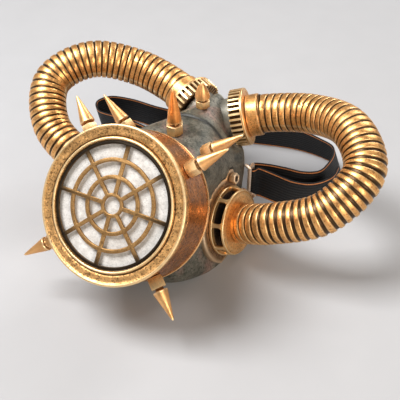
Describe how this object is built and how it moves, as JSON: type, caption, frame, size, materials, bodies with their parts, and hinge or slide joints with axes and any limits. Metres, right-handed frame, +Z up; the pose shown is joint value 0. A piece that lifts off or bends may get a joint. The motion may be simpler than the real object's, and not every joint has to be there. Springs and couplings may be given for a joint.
{
  "type": "gas mask style costume mask",
  "caption": "Hollow half face mask with a front filter canister, ribbed side hoses, caged ports, cone spikes and an elastic head strap.",
  "frame": {"origin": "centre of the bounding box at the ground that the mask stands on", "axes": "+X to the right as the canister is faced, +Y back from the canister to the strap, +Z up"},
  "size_m": [0.256, 0.2284, 0.1133],
  "materials": {
    "shell": "antique verdigris paint, mottled green and brown",
    "copper": "brushed copper paint, worn along the edges",
    "gold": "antique gold metallic paint, hammered, worn edges",
    "orange_copper": "bright copper metallic paint",
    "hose": "antique gold metallic paint over ribbed flexible hose",
    "felt": "off-white filter felt",
    "web": "matte tan gold paint",
    "bail": "pale worn metal wire",
    "strap": "black ribbed elastic with copper edge threads"
  },
  "bodies": {
    "root": {"shell": "shell", "cheek_plate_left": "shell", "cheek_plate_right": "shell", "nose_port_left": "shell", "nose_port_right": "shell", "canister_cup": "copper", "canister_ring": "gold", "nose_spike": "gold", "nose_nut": "gold", "ridge_nut": "gold", "canister_spike_1": "gold", "canister_spike_2": "gold", "canister_spike_3": "gold", "canister_spike_4": "gold", "canister_nut_1": "gold", "canister_nut_2": "gold", "canister_nut_3": "gold", "canister_nut_4": "gold", "shoulder_spike_left": "gold", "shoulder_spike_right": "gold", "shoulder_nut_left": "gold", "shoulder_nut_right": "gold", "cheek_spike_left": "gold", "cheek_spike_right": "gold", "gear_collar_left": "gold", "gear_collar_right": "gold", "upper_sleeve_left": "gold", "upper_sleeve_right": "gold", "port_cage_left": "gold", "port_cage_right": "gold", "port_bolt_left": "gold", "port_bolt_right": "gold", "ridge_spike": "orange_copper", "hose_left": "hose", "hose_right": "hose", "filter_pad": "felt", "web_grille": "web", "strap_bail_left": "bail", "strap_bail_right": "bail", "head_strap": "strap"}
  },
  "joints": []
}
